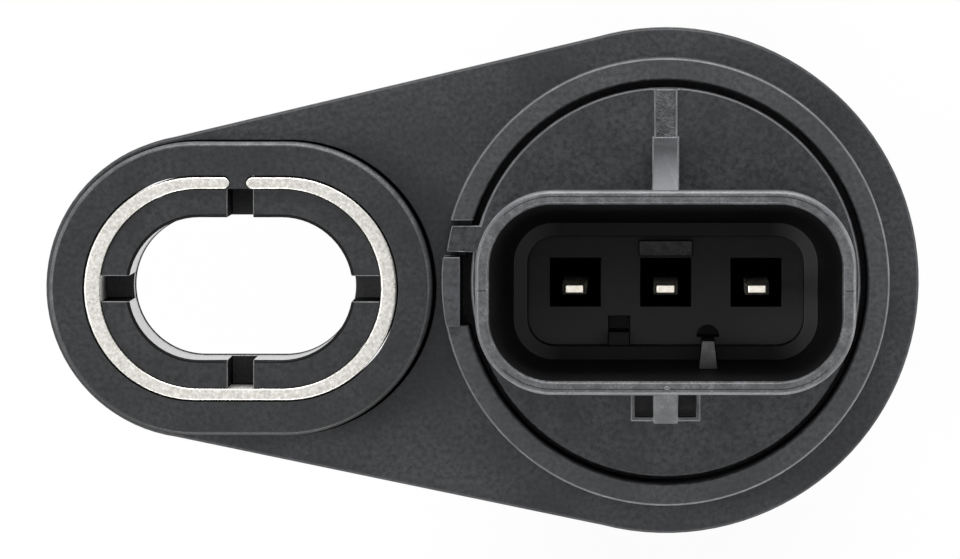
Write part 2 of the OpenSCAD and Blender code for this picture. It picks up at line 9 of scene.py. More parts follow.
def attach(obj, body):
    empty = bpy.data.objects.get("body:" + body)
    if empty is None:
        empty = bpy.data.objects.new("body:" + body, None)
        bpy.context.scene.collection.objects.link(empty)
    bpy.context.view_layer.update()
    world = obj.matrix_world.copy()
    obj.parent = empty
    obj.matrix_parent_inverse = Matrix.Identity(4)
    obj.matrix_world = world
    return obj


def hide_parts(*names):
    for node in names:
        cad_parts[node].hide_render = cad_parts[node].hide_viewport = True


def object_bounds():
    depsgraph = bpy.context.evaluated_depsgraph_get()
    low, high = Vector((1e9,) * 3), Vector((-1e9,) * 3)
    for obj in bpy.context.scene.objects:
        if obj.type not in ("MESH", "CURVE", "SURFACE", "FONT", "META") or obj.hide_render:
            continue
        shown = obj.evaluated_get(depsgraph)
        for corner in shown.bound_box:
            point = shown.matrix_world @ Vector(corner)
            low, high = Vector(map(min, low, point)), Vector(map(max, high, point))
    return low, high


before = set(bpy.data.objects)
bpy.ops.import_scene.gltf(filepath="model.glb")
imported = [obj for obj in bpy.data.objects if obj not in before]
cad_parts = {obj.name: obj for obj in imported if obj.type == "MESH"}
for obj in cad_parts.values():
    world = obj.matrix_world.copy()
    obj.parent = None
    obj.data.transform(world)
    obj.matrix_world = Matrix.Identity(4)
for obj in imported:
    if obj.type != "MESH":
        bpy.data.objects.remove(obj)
cadBox = [[float(c) for c in corner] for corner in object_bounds()]
scene = bpy.context.scene
scene.view_settings.view_transform = "Standard"
mm = 0.001  # sizes below are in mm, and are turned to metres where a mesh or a node takes them
print("frame loaded with", len(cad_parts), "nodes")


def linear(hexColour):  # sRGB hex to linear RGBA
    c = np.array([int(hexColour[i:i + 2], 16) for i in (1, 3, 5)]) / 255
    return (*np.where(c <= 0.04045, c / 12.92, ((c + 0.055) / 1.055) ** 2.4), 1.0)


def addNode(tree, kind, values=None, links=None, **options):  # one node with its values, links and options
    node = tree.nodes.new("ShaderNode" + kind)
    for key, value in options.items():
        setattr(node, key, value)
    for key, value in (values or {}).items():
        node.inputs[key].default_value = value
    for key, socket in (links or {}).items():
        tree.links.new(socket, node.inputs[key])
    return node


def startMaterial(name):  # empty material with its output, returned with its Object coordinates
    material = bpy.data.materials.new(name)
    material.use_nodes = True
    tree = material.node_tree
    tree.nodes.clear()
    output = addNode(tree, "OutputMaterial")
    place = addNode(tree, "TexCoord").outputs["Object"]
    return material, tree, output, place


noiseSpan = {"From Min": 0.3, "From Max": 0.7}  # nearly all of a noise lies in this span


# surface: a tone, with gloss that follows a grain and relief that follows a height
def closeMaterial(tree, output, look, tone, grain, height, values):
    rough = addNode(tree, "MapRange", {**noiseSpan, "To Min": look["roughLow"], "To Max": look["roughHigh"]},
                    {"Value": grain}).outputs["Result"]
    normal = addNode(tree, "Bump", {"Strength": 1.0, "Distance": look["depth"] * mm},
                     {"Height": height}).outputs["Normal"]
    shader = addNode(tree, "BsdfPrincipled", values,
                     {"Base Color": tone, "Roughness": rough, "Normal": normal})
    tree.links.new(shader.outputs[0], output.inputs["Surface"])


# moulded plastic: pale flecks where grain and cloud are both high, with the grain in gloss and relief too
def mouldedPlastic(name, look):
    material, tree, output, place = startMaterial(name)
    grain = addNode(tree, "TexNoise", {"Scale": 1 / (look["grain"] * mm), "Detail": 3.0, "Roughness": 0.6},
                    {"Vector": place}).outputs["Fac"]
    cloud = addNode(tree, "TexNoise", {"Scale": 1 / (look["cloud"] * mm), "Detail": 2.0},
                    {"Vector": place}).outputs["Fac"]
    flecks = addNode(tree, "MapRange", noiseSpan, {"Value": grain}).outputs["Result"]
    drift = addNode(tree, "MapRange", {**noiseSpan, "To Min": look.get("cloudLow", 0)},
                    {"Value": cloud}).outputs["Result"]
    mixed = addNode(tree, "Math", None, {0: flecks, 1: drift}, operation="MULTIPLY").outputs[0]
    tone = addNode(tree, "Mix", {6: linear(look["dark"]), 7: linear(look["pale"])}, {"Factor": mixed},
                   data_type="RGBA").outputs[2]
    if "paintedLightTone" in look:  # the tone goes over to another one between two places along an axis, as painted light and shade
        along = addNode(tree, "SeparateXYZ", None, {0: place}).outputs[look["paintedLightAlong"]]
        if look["paintedLightAlong"] == "X":  # alike on both sides
            along = addNode(tree, "Math", None, {0: along}, operation="ABSOLUTE").outputs[0]
        share = addNode(tree, "MapRange",
                        {"From Min": look["paintedLightFrom"] * mm, "From Max": look["paintedLightTo"] * mm},
                        {"Value": along}).outputs["Result"]
        tone = addNode(tree, "Mix", {7: linear(look["paintedLightTone"])}, {"Factor": share, 6: tone},
                       data_type="RGBA").outputs[2]
    closeMaterial(tree, output, look, tone, grain, grain, {"Specular IOR Level": look["shine"]})
    return material


# metal: mottled in tone and relief, with a finer grain in its gloss
def mottledMetal(name, look):
    material, tree, output, place = startMaterial(name)
    mottle = addNode(tree, "TexNoise",
                     {"Scale": 1 / (look["mottle"] * mm), "Detail": 4.0, "Roughness": 0.65},
                     {"Vector": place}).outputs["Fac"]
    grain = addNode(tree, "TexNoise", {"Scale": 1 / (look["grain"] * mm), "Detail": 2.0},
                    {"Vector": place}).outputs["Fac"]
    patches = addNode(tree, "MapRange", noiseSpan, {"Value": mottle}).outputs["Result"]
    tone = addNode(tree, "Mix", {6: linear(look["dark"]), 7: linear(look["pale"])}, {"Factor": patches},
                   data_type="RGBA").outputs[2]
    closeMaterial(tree, output, look, tone, grain, mottle, {"Metallic": 1.0})
    return material


# The mouldings are black glass-filled nylon. A spark-eroded mould leaves a grain of about 0.05 mm, which is
# too fine to show in the render, so it is drawn 2 to 5 times as coarse. Cloud is the slow drift of the tone.
plastics = {
    # nylon from a spark-eroded mould: matt charcoal with a fine pale fleck
    "sparkErodedNylon": {"dark": "#27282a", "pale": "#4c4d50", "grain": 0.25, "cloud": 3.0, "cloudLow": 0.4,
                         "shine": 0.32, "roughLow": 0.38, "roughHigh": 0.6, "depth": 0.014},
    # the same on the collar's top, painted a shade paler as painted light
    "collarNylon": {"dark": "#363739", "pale": "#58595c", "grain": 0.25, "cloud": 3.0, "cloudLow": 0.4,
                    "shine": 0.32, "roughLow": 0.38, "roughHigh": 0.6, "depth": 0.014},
    # nylon from a smoother insert of the mould: darker, with less relief
    "bossNylon": {"dark": "#1e1f20", "pale": "#3c3d3f", "grain": 0.24, "cloud": 2.6, "cloudLow": 0.4,
                  "shine": 0.32, "roughLow": 0.38, "roughHigh": 0.6, "depth": 0.012},
    # spark-eroded nylon of the head and hood: charcoal, a little glossier
    "headNylon": {"dark": "#242527", "pale": "#4d4e51", "grain": 0.26, "cloud": 2.5, "cloudLow": 0.4,
                  "shine": 0.32, "roughLow": 0.36, "roughHigh": 0.56, "depth": 0.016},
    # pale grey nylon with a soft gloss, painted along edges and on slopes as painted highlight
    "edgeNylon": {"dark": "#5c5d60", "pale": "#86878a", "grain": 0.09, "cloud": 0.9, "shine": 0.5,
                  "roughLow": 0.26, "roughHigh": 0.42, "depth": 0.01},
    # nylon painted grey with pale flecks; on the rim and the nose's rib and frame this is painted light
    "rubbedNylon": {"dark": "#464749", "pale": "#7a7b7e", "grain": 0.12, "cloud": 0.6, "shine": 0.45,
                    "roughLow": 0.3, "roughHigh": 0.45, "depth": 0.014},
    # nylon of the gusset's smooth slope: painted paler towards its top as painted light
    "gussetNylon": {"dark": "#38393b", "pale": "#4c4d50", "grain": 0.12, "cloud": 1.0, "shine": 0.45,
                    "roughLow": 0.3, "roughHigh": 0.45, "depth": 0.014, "paintedLightTone": "#7c7d80", "paintedLightAlong": "Z",
                    "paintedLightFrom": 9, "paintedLightTo": 17.5},
    # nylon of the boss's chamfer: painted grey as painted highlight, and darker again towards -Y as painted
    # shade
    "bossEdgeNylon": {"dark": "#464749", "pale": "#7a7b7e", "grain": 0.12, "cloud": 0.6, "shine": 0.45,
                      "roughLow": 0.3, "roughHigh": 0.45, "depth": 0.014, "paintedLightTone": "#2b2c2d",
                      "paintedLightAlong": "Y", "paintedLightFrom": 0.5, "paintedLightTo": -5.5},
    # nylon of the pad at the gusset's foot, from a coarse spot of the mould: light and dark specks
    "padNylon": {"dark": "#2a2b2c", "pale": "#77787a", "grain": 0.12, "cloud": 0.6, "shine": 0.5,
                 "roughLow": 0.3, "roughHigh": 0.6, "depth": 0.06},
    # nylon moulded against a polished core: dark and glossy
    "polishedBoreNylon": {"dark": "#242526", "pale": "#303132", "grain": 0.2, "cloud": 2.0, "shine": 0.7,
                          "roughLow": 0.1, "roughHigh": 0.18, "depth": 0.0004},
    # nylon of the socket's floor: dark and dull, painted paler towards -Y as painted light
    "socketNylon": {"dark": "#242425", "pale": "#323233", "grain": 0.1, "cloud": 2.0, "shine": 0.15,
                    "roughLow": 0.34, "roughHigh": 0.5, "depth": 0.006, "paintedLightTone": "#5e5e60", "paintedLightAlong": "Y",
                    "paintedLightFrom": 1.5, "paintedLightTo": -2.5},
    # nylon of the ledge round that floor: darker, painted paler at both ends as painted light
    "ledgeNylon": {"dark": "#1a1a1b", "pale": "#242425", "grain": 0.1, "cloud": 2.0, "shine": 0.12,
                   "roughLow": 0.34, "roughHigh": 0.5, "depth": 0.006, "paintedLightTone": "#5e5e60", "paintedLightAlong": "X",
                   "paintedLightFrom": 5.2, "paintedLightTo": 6.8},
    # nylon of the coding rib and the tab: painted grey as painted light, dark at the rib's foot as painted
    # shade
    "scuffedNylon": {"dark": "#646466", "pale": "#929294", "grain": 0.16, "cloud": 0.5, "shine": 0.25,
                     "roughLow": 0.34, "roughHigh": 0.5, "depth": 0.008, "paintedLightTone": "#202021", "paintedLightAlong": "Y",
                     "paintedLightFrom": -3.2, "paintedLightTo": -4.0},
    # nylon of the socket's walls and the slot's lead-in: painted nearly black as painted shade
    "socketWallNylon": {"dark": "#0c0c0c", "pale": "#121213", "grain": 0.1, "cloud": 2.0, "shine": 0.12,
                        "roughLow": 0.4, "roughHigh": 0.55, "depth": 0.004},
    # nylon in the wells and narrow slots, painted black and dull as painted shade
    "wellNylon": {"dark": "#050505", "pale": "#0a0a0a", "grain": 0.1, "cloud": 1.0, "shine": 0.03,
                  "roughLow": 0.7, "roughHigh": 0.85, "depth": 0.004},
    # spark-eroded nylon of the barrel: charcoal with an even fleck
    "barrelNylon": {"dark": "#28292b", "pale": "#454649", "grain": 0.22, "cloud": 2.5, "cloudLow": 0.5,
                    "shine": 0.36, "roughLow": 0.34, "roughHigh": 0.52, "depth": 0.014},
    # unfilled nylon of the moulded cap: dark and even
    "capNylon": {"dark": "#1b1b1d", "pale": "#242527", "grain": 0.12, "cloud": 2.0, "shine": 0.4,
                 "roughLow": 0.4, "roughHigh": 0.55, "depth": 0.012},
    # fluorocarbon rubber, moulded: warm black with a dull sheen
    "ringRubber": {"dark": "#161413", "pale": "#1e1b1a", "grain": 0.2, "cloud": 1.5, "shine": 0.3,
                   "roughLow": 0.5, "roughHigh": 0.65, "depth": 0.01},
    # glass-filled polyester, moulded: tan and matt
    "carrierPolyester": {"dark": "#7a6a50", "pale": "#8f7d60", "grain": 0.12, "cloud": 2.0, "shine": 0.4,
                         "roughLow": 0.4, "roughHigh": 0.55, "depth": 0.01},
    # epoxy, moulded round a chip: dark grey and dull
    "chipEpoxy": {"dark": "#1d1e20", "pale": "#292a2c", "grain": 0.06, "cloud": 0.8, "shine": 0.35,
                  "roughLow": 0.5, "roughHigh": 0.65, "depth": 0.006},
    # fired ceramic: brown and finely grained
    "firedCeramic": {"dark": "#8f6d4a", "pale": "#a8835c", "grain": 0.05, "cloud": 0.5, "shine": 0.4,
                     "roughLow": 0.45, "roughHigh": 0.6, "depth": 0.004},
}
metals = {
    # zinc-plated steel strip, rolled: pale silver with a fine spangle
    "zincPlatedSteel": {"dark": "#bbb8b1", "pale": "#e8e6e1", "mottle": 0.2, "grain": 0.1,
                        "roughLow": 0.3, "roughHigh": 0.48, "depth": 0.024},
    # tin-plated brass, stamped: warm white
    "tinnedBrass": {"dark": "#e4dccb", "pale": "#fffaf0", "mottle": 0.25, "grain": 0.08,
                    "roughLow": 0.25, "roughHigh": 0.4, "depth": 0.01},
    # sintered magnet, ground: dark grey with fine pores
    "sinteredMagnet": {"dark": "#4b4b4e", "pale": "#6a6a6c", "mottle": 0.15, "grain": 0.06,
                       "roughLow": 0.4, "roughHigh": 0.6, "depth": 0.01},
    # mild steel sheet, stamped: plain grey
    "stampedSteel": {"dark": "#8b8d90", "pale": "#a9abae", "mottle": 0.4, "grain": 0.08,
                     "roughLow": 0.3, "roughHigh": 0.45, "depth": 0.006},
    # tin-plated copper, stamped and bent: bright silver
    "tinnedCopper": {"dark": "#b8b6b0", "pale": "#dcdad4", "mottle": 0.2, "grain": 0.05,
                     "roughLow": 0.25, "roughHigh": 0.4, "depth": 0.004},
}
finish = {name: mouldedPlastic(name, look) for name, look in plastics.items()}
finish.update({name: mottledMetal(name, look) for name, look in metals.items()})
print("materials made:", len(finish))

# merge: points closer than this are one; the turns are in degrees between two faces
# down, wall and top: Z of the normal of a face that looks down, stands upright or lies flat
edgeRule = {"merge": 0.0005, "flatTurn": 0.4, "crispTurn": 25, "cutTurn": 80, "down": -0.3, "wall": 0.5,
            "top": 0.9}


def addPiece(name, points, faces, materials):  # mesh object at the origin, with smooth shading
    mesh = bpy.data.meshes.new(name)
    mesh.from_pydata(np.asarray(points).tolist(), [], faces if isinstance(faces, list) else faces.tolist())
    mesh.shade_smooth()
    for material in materials:
        mesh.materials.append(finish[material])
    piece = bpy.data.objects.new(name, mesh)
    scene.collection.objects.link(piece)
    return piece


def grid(rows, columns, wrapRows, wrapColumns):  # quads of a grid of points, row by row
    i, j = np.meshgrid(np.arange(rows if wrapRows else rows - 1),
                       np.arange(columns if wrapColumns else columns - 1), indexing="ij")
    a, b = i * columns + j, i * columns + (j + 1) % columns
    c, d = (i + 1) % rows * columns + (j + 1) % columns, (i + 1) % rows * columns + j
    return np.stack([a, b, c, d], -1).reshape(-1, 4)


def tidyNormals(piece):  # merges doubles and turns all faces outwards
    shape = bmesh.new()
    shape.from_mesh(piece.data)
    bmesh.ops.remove_doubles(shape, verts=shape.verts, dist=edgeRule["merge"] * mm)
    bmesh.ops.recalc_face_normals(shape, faces=shape.faces)
    shape.to_mesh(piece.data)
    shape.free()


def addBevel(piece, name, look, method, material):
    bevel = piece.modifiers.new(name, "BEVEL")
    bevel.width, bevel.segments = look["edge"] * mm, look["steps"]
    bevel.limit_method, bevel.angle_limit = method, math.radians(look["limit"])
    bevel.use_clamp_overlap = False
    bevel.material = material


def carve(piece, *cutters):  # cuts closed surfaces out of a piece, after the modifiers it has
    for points, faces in cutters:
        tool = addPiece("cutter", points, faces, [])
        tidyNormals(tool)
        cut = piece.modifiers.new("cut", "BOOLEAN")
        cut.operation, cut.solver, cut.object = "DIFFERENCE", "EXACT", tool
        old = piece.data
        graph = bpy.context.evaluated_depsgraph_get()
        shaped = bpy.data.meshes.new_from_object(piece.evaluated_get(graph))
        piece.modifiers.clear()
        piece.data = shaped
        bpy.data.meshes.remove(old)
        bpy.data.meshes.remove(tool.data)
    shape = bmesh.new()
    shape.from_mesh(piece.data)
    bmesh.ops.holes_fill(shape, edges=[edge for edge in shape.edges if edge.is_boundary])
    for edge in shape.edges:
        edge.smooth = edge.smooth and edge.calc_face_angle(0) < math.radians(edgeRule["cutTurn"])
    shape.to_mesh(piece.data)
    shape.free()


# small moulded radius on sharp edges, with flat faces kept flat; fine cuts come after the radius
def softenEdges(piece, look, highlit=None, cutters=()):
    polished = [i for i, name in enumerate(look["finishes"]) if name == "polishedBoreNylon"]
    shape = bmesh.new()
    shape.from_mesh(piece.data)
    weight = shape.edges.layers.float.new("bevel_weight_edge")
    for edge in shape.edges:
        turn = math.degrees(edge.calc_face_angle(0))
        crisp = any(face.normal.z < edgeRule["down"] or face.material_index in polished
                    for face in edge.link_faces)  # slopes that face down, and the bore's edge
        edge.smooth = not (crisp and edgeRule["crispTurn"] < turn <= look["limit"])
        if highlit:  # edges painted paler as painted highlight, picked by their middles
            middle = (edge.verts[0].co + edge.verts[1].co) / 2 / mm
            edge[weight] = float(turn > look["limit"] and highlit(*middle))
    shape.to_mesh(piece.data)
    shape.free()
    if highlit:
        # the picked edges' radius is painted in the pale edge nylon: painted highlight
        addBevel(piece, "paintedHighlightEdges", look, "WEIGHT", look["finishes"].index("edgeNylon"))
    addBevel(piece, "edgeRadius", look, "ANGLE", -1)
    if cutters:
        carve(piece, *cutters)
    flat = piece.modifiers.new("flatFaces", "WEIGHTED_NORMAL")
    flat.mode, flat.keep_sharp = "FACE_AREA_WITH_ANGLE", True


def mouldedCopy(node, look, mend=None):  # CAD mesh with its doubles merged and its flat faces joined
    shape = bmesh.new()
    shape.from_mesh(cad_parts[node].data)
    bmesh.ops.remove_doubles(shape, verts=shape.verts, dist=edgeRule["merge"] * mm)
    if mend:
        mend(shape, look)
    bmesh.ops.dissolve_limit(shape, angle_limit=math.radians(edgeRule["flatTurn"]), verts=shape.verts,
                             edges=shape.edges)
    shape.verts.ensure_lookup_table()
    shape.verts.index_update()
    points = [v.co[:] for v in shape.verts]
    faces = [[v.index for v in f.verts] for f in shape.faces]
    shape.free()
    return addPiece(look["name"], points, faces, look["finishes"])


def seat(piece, slot, *nodes):  # piece rides on the part and stands for its CAD nodes
    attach(piece, "root")
    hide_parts(*nodes)


def paint(piece, look, zones):  # each face takes the first finish whose zone holds it, or the list's first
    places = [look["finishes"].index(name) for name in zones]
    index = np.select(list(zones.values()), places, 0)
    piece.data.polygons.foreach_set("material_index", index.astype(np.int32))


def faceReach(piece, reach):  # farthest corner of each face, from a distance per point
    loops = np.empty(len(piece.data.loops), np.int32)
    starts = np.empty(len(piece.data.polygons), np.int32)
    piece.data.loops.foreach_get("vertex_index", loops)
    piece.data.polygons.foreach_get("loop_start", starts)
    return np.maximum.reduceat(reach[loops], starts)


def pointTable(piece):  # points of a piece in mm
    points = np.empty(len(piece.data.vertices) * 3)
    piece.data.vertices.foreach_get("co", points)
    return points.reshape(-1, 3) / mm


def faceTable(piece):  # centres in mm and normals of a piece's faces
    polygons = piece.data.polygons
    centres, normals = np.empty(len(polygons) * 3), np.empty(len(polygons) * 3)
    polygons.foreach_get("center", centres)
    polygons.foreach_get("normal", normals)
    return centres.reshape(-1, 3) / mm, normals.reshape(-1, 3)


def within(value, span):  # true where a value lies between two others
    return (value > span[0]) & (value < span[1])


def away(x, y, halfX, halfY):  # distance outside a rectangle of corner centres
    return np.hypot(np.maximum(abs(x) - halfX, 0), np.maximum(abs(y) - halfY, 0))


# oval loop: half circles of radius r about two centres, with the outward direction of each point
def ovalLoop(half, r, steps):
    turn = np.concatenate([np.linspace(-0.5, 0.5, steps), np.linspace(0.5, 1.5, steps)]) * np.pi
    centre = np.repeat([half, -half], steps)
    out = np.stack([np.cos(turn), np.sin(turn)], -1)
    return np.stack([centre, np.zeros_like(centre)], -1) + r * out, out


# four-cornered loop: quarter circles of radius r about the corners of a rectangle
def boxLoop(halfX, halfY, r, steps):
    turn = np.concatenate([np.linspace(k, k + 1, steps) for k in range(4)]) * np.pi / 2
    centre = np.repeat([[halfX, halfY], [-halfX, halfY], [-halfX, -halfY], [halfX, -halfY]], steps, 0)
    out = np.stack([np.cos(turn), np.sin(turn)], -1)
    return centre + r * out, out


# channel: a four-sided section carried along a path, from inner to outer offsets and from low to high
def channel(loop, out, centre, inner, outer, low, high, closed=True):
    inner, outer = np.broadcast_to(inner, len(loop)), np.broadcast_to(outer, len(loop))
    reach = np.stack([inner, outer, outer, inner], -1)
    flat = loop[:, None, :] + reach[:, :, None] * out[:, None, :] + np.array(centre)
    z = np.broadcast_to(np.array([low, low, high, high])[None, :, None], flat.shape[:2] + (1,))
    points, faces = np.concatenate([flat, z], -1).reshape(-1, 3) * mm, grid(len(loop), 4, closed, True)
    if not closed:  # a face on each end
        faces = np.concatenate([faces, [np.arange(4), len(points) - 1 - np.arange(4)]])
    return points, faces


# heights that end in Above are measured from the plate's top
flangeLook = {"name": "flangeMoulding",
              "finishes": ["sparkErodedNylon", "polishedBoreNylon", "bossNylon", "socketWallNylon",
                           "edgeNylon", "wellNylon", "collarNylon", "bossEdgeNylon"],
              "edge": 0.05, "steps": 2, "limit": 55, "plateTop": 4.5, "slotAt": (-21.28, -0.35),
              "slotHalf": 2.05, "slotR": 3.6, "leadR": 3.75, "linerR": 5.05,
              "bossHalf": 2.25, "bossR": 7.34, "bossSpare": 0.3, "bossAbove": 0.02, "slopeAbove": 0.5,
              "collarR": 11.0, "collarAbove": 1.5, "rubbedAbove": 1, "sleeveBand": (4.9, 6),
              "fingerX": -9, "fingerEnd": -2.21, "fingerSpare": 0.2, "arcSteps": 60,
              "creaseRoot": 0.15, "creaseMin": 0.02, "creaseMax": 0.17, "creaseFrom": -0.25,
              "creaseDepth": 0.6, "creaseOver": 0.06, "creaseZone": (3.8, 4.4)}


# crease at the boss's foot, painted black as painted shadow: a channel whose width grows with the cosine of
# the direction, towards the collar
def bossShadowCrease(look):
    loop, out = ovalLoop(look["bossHalf"], look["bossR"], look["arcSteps"])
    share = np.clip((out[:, 0] - look["creaseFrom"]) / (1 - look["creaseFrom"]), 0, 1)
    width = look["creaseMin"] + (look["creaseMax"] - look["creaseMin"]) * share
    return channel(loop, out, look["slotAt"], -look["creaseRoot"], width,
                   look["plateTop"] - look["creaseDepth"], look["plateTop"] + look["creaseOver"])


def flangeZones(piece, look):  # which faces of the flange have which finish
    centres, normals = faceTable(piece)
    fromSlot = centres[:, :2] - look["slotAt"]
    reach = away(fromSlot[:, 0], fromSlot[:, 1], look["slotHalf"], 0)
    height, upward = centres[:, 2], normals[:, 2]
    above = height - look["plateTop"]
    upright, level = abs(upward) < edgeRule["wall"], upward > edgeRule["top"]
    slope = (upward > edgeRule["wall"]) & (upward < edgeRule["top"]) & (above > look["slopeAbove"])
    onBoss = (reach < look["bossR"] + look["bossSpare"]) & (above > look["bossAbove"])
    shadowCrease = (abs(reach - look["bossR"]) < look["bossSpare"]) & within(height, look["creaseZone"])
    onCollar = ~onBoss & (np.hypot(centres[:, 0], centres[:, 1]) > look["collarR"])
    return {"polishedBoreNylon": upright & (reach < look["slotR"]),
            # the slot's lead-in is painted nearly black: painted shade
            "socketWallNylon": slope & (reach < look["leadR"]),
            # the upright faces round the slot and the boss's crease are painted black: painted shade
            "wellNylon": (upright & (reach < look["linerR"])) | shadowCrease,
            # the collar's chamfers are painted pale: painted highlight
            "edgeNylon": slope & onCollar,
            # the boss's chamfer: painted highlight, with painted shade towards -Y
            "bossEdgeNylon": slope & onBoss & (reach > look["bossR"] - look["bossSpare"]),
            "bossNylon": onBoss,
            # the collar's top is painted paler: painted light
            "collarNylon": level & (above > look["collarAbove"])}


def flangeHighlitEdges(x, y, z):  # upper edges painted paler as painted highlight, without those beside the sleeve and at the stop finger's end
    look = flangeLook
    r = math.hypot(max(abs(x - look["slotAt"][0]) - look["slotHalf"], 0), y - look["slotAt"][1])
    finger = x < look["fingerX"] and abs(y - look["fingerEnd"]) < look["fingerSpare"]
    return z > look["plateTop"] + look["rubbedAbove"] and not within(r, look["sleeveBand"]) and not finger


flange = mouldedCopy("mounting_flange", flangeLook)
carve(flange, bossShadowCrease(flangeLook))
paint(flange, flangeLook, flangeZones(flange, flangeLook))
softenEdges(flange, flangeLook, flangeHighlitEdges)
seat(flange, "flange_nylon", "mounting_flange")

flashLook = {"r": 3.57, "steps": 60, "proud": 0.04, "root": 0.03, "low": 0.03, "high": 0.15}


# slot flash: a thin lip left by the mould, carried round the slot's foot
def slotFlash(look):
    loop, out = ovalLoop(flangeLook["slotHalf"], look["r"], look["steps"])
    return channel(loop, out, flangeLook["slotAt"], -look["proud"], look["root"], look["low"], look["high"])


flash = addPiece("slotFlash", *slotFlash(flashLook), ["rubbedNylon"])
tidyNormals(flash)
flash.data.shade_flat()
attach(flash, "root")
print("flange moulding:", len(flange.data.polygons), "faces")

# values that end in Tilt are of the Z of a face's normal
bodyLook = {"name": "bodyMoulding",
            "finishes": ["headNylon", "rubbedNylon", "socketNylon", "socketWallNylon", "wellNylon",
                         "padNylon", "gussetNylon", "edgeNylon", "scuffedNylon", "ledgeNylon",
                         "barrelNylon"],
            "edge": 0.05, "steps": 2, "limit": 55, "halfX": 5.5, "halfY": 1.2, "midY": -0.1,
            "barrelTop": 0, "headTop": 6.42, "headR": 9.6, "edgeFrom": -4, "edgeTilt": (0.3, 0.95),
            "rimLow": 18.0, "rimTop": 18.4, "rubbedLow": 6.2, "rubbedSpare": (0.5, 0.01),
            "socketR": 3.12, "socketSpan": (4.9, 18.23), "wallTilt": 0.35, "wellHigh": 7.9, "wellFrom": -1.6,
            "ledgeLow": 9, "tabTilt": (0.8, 0.95), "ribLow": 9.8, "ribX": (1.5, 2.7),
            "gussetHalf": 0.66, "gussetFrom": 4.4, "gussetTo": 7.22,
            "noseFrom": -4.9, "noseLow": 15.5, "noseHalf": 1.75, "noseRibHalf": 0.62}
rimLook = {"lineR": 3.49, "lineWidth": 0.04, "lineDepth": 0.04, "lineTurn": 0.7, "steps": 24, "over": 0.05,
           "tickY": 0.0, "tickWidth": 0.05, "tickFrom": 8.55, "tickTo": 9.2}
hoodLook = {"foot": 6.4, "lip": 15.8, "rowSpare": 0.05, "cornerR": (3.35, 3.45), "cornerSpare": 0.01,
            "wallFoot": -4.73, "wallLean": 0.00638, "rootX": (1.5, 2.7), "rootY": (-4.76, -4.66),
            "rootZ": (6.3, 13.6), "rootMerge": 0.02}


# rim lines: fine channels along the rim's long sides; ticks: two slits across its ends where the mould parts
def rimCuts(body, look):
    loop, out = boxLoop(body["halfX"], body["halfY"], look["lineR"], look["steps"])
    low, high = body["rimTop"] - look["lineDepth"], body["rimTop"] + look["over"]
    half = look["lineWidth"] / 2
    lines = [channel(loop[side], out[side], (0, body["midY"]), -half, half, low, high, False)
             for side in (out[:, 1] > look["lineTurn"], out[:, 1] < -look["lineTurn"])]
    corner = np.array([[-1, -1], [1, -1], [1, 1], [-1, 1]]) / 2
    sides = [[0, 1, 2, 3], [4, 5, 6, 7], [0, 1, 5, 4], [1, 2, 6, 5], [2, 3, 7, 6], [3, 0, 4, 7]]
    ticks = []
    for side in (-1, 1):
        middle = side * (look["tickFrom"] + look["tickTo"]) / 2
        flat = corner * [look["tickTo"] - look["tickFrom"], look["tickWidth"]] + [middle, look["tickY"]]
        z = np.repeat([low, high], 4)[:, None]
        ticks.append((np.concatenate([np.concatenate([flat, flat]), z], -1) * mm, sides))
    return *lines, *ticks


def pressRoot(shape, look):  # the coding rib's root, a hair proud of the hood's wall, goes back onto it
    spans = look["rootX"], look["rootY"], look["rootZ"]
    root = [v for v in shape.verts if all(within(c / mm, span) for c, span in zip(v.co, spans))]
    for v in root:
        v.co.y = (look["wallFoot"] + (v.co.z / mm - look["foot"]) * look["wallLean"]) * mm
    bmesh.ops.remove_doubles(shape, verts=root, dist=look["rootMerge"] * mm)


# hood corners: straight strips from the foot's arc to the lip's arc, in place of rows of thin triangles
def drawCorners(shape, body, look):
    spare = look["rowSpare"]
    wall = look["foot"] - spare, look["lip"] + spare
    for sideX, sideY in ((1, 1), (-1, 1), (-1, -1), (1, -1)):
        rows = {"foot": [], "lip": [], "between": []}
        for v in shape.verts:
            x = v.co.x / mm * sideX - body["halfX"]
            y = (v.co.y / mm - body["midY"]) * sideY - body["halfY"]
            z = v.co.z / mm
            inCorner = min(x, y) > -look["cornerSpare"] and within(math.hypot(x, y), look["cornerR"])
            if inCorner and within(z, wall):
                ends = [end for end in ("foot", "lip") if abs(z - look[end]) < spare]
                rows[ends[0] if ends else "between"].append((math.atan2(y, x) * sideX * sideY, v))
        foot, lip = ([v for _, v in sorted(rows[row], key=lambda pair: pair[0])] for row in ("foot", "lip"))
        bmesh.ops.delete(shape, geom=[v for _, v in rows["between"]], context="VERTS")
        for strip in zip(foot, foot[1:], lip[1:], lip):
            shape.faces.new(strip)


def mendHood(shape, body):
    pressRoot(shape, hoodLook)
    drawCorners(shape, body, hoodLook)


